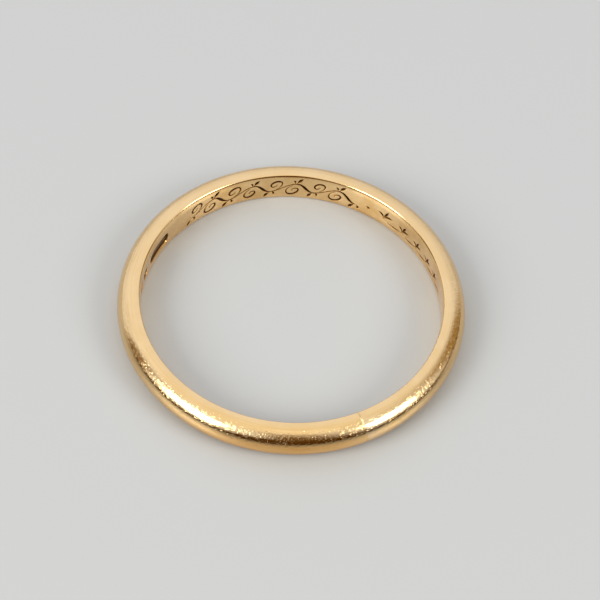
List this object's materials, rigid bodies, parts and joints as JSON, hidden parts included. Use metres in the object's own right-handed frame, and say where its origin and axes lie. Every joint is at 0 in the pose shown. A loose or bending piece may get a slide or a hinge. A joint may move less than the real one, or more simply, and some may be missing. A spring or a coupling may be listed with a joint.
{
  "type": "wedding band",
  "caption": "Plain half-round gold finger ring with a soldered joint, punched marks and scroll engraving inside the finger hole.",
  "frame": {"origin": "on the axis of the finger hole, in the plane the band rests on when it lies flat", "axes": "+Z along the axis of the finger hole, upwards as the band lies flat; -Y towards the front"},
  "size_m": [0.0198, 0.0198, 0.002],
  "materials": {
    "yellow_gold": "polished, with fine wear scratches",
    "gold_solder": "polished, slightly paler than the wire"
  },
  "bodies": {
    "root": {"band_hoop": "yellow_gold", "solder_seam": "gold_solder"}
  },
  "joints": []
}
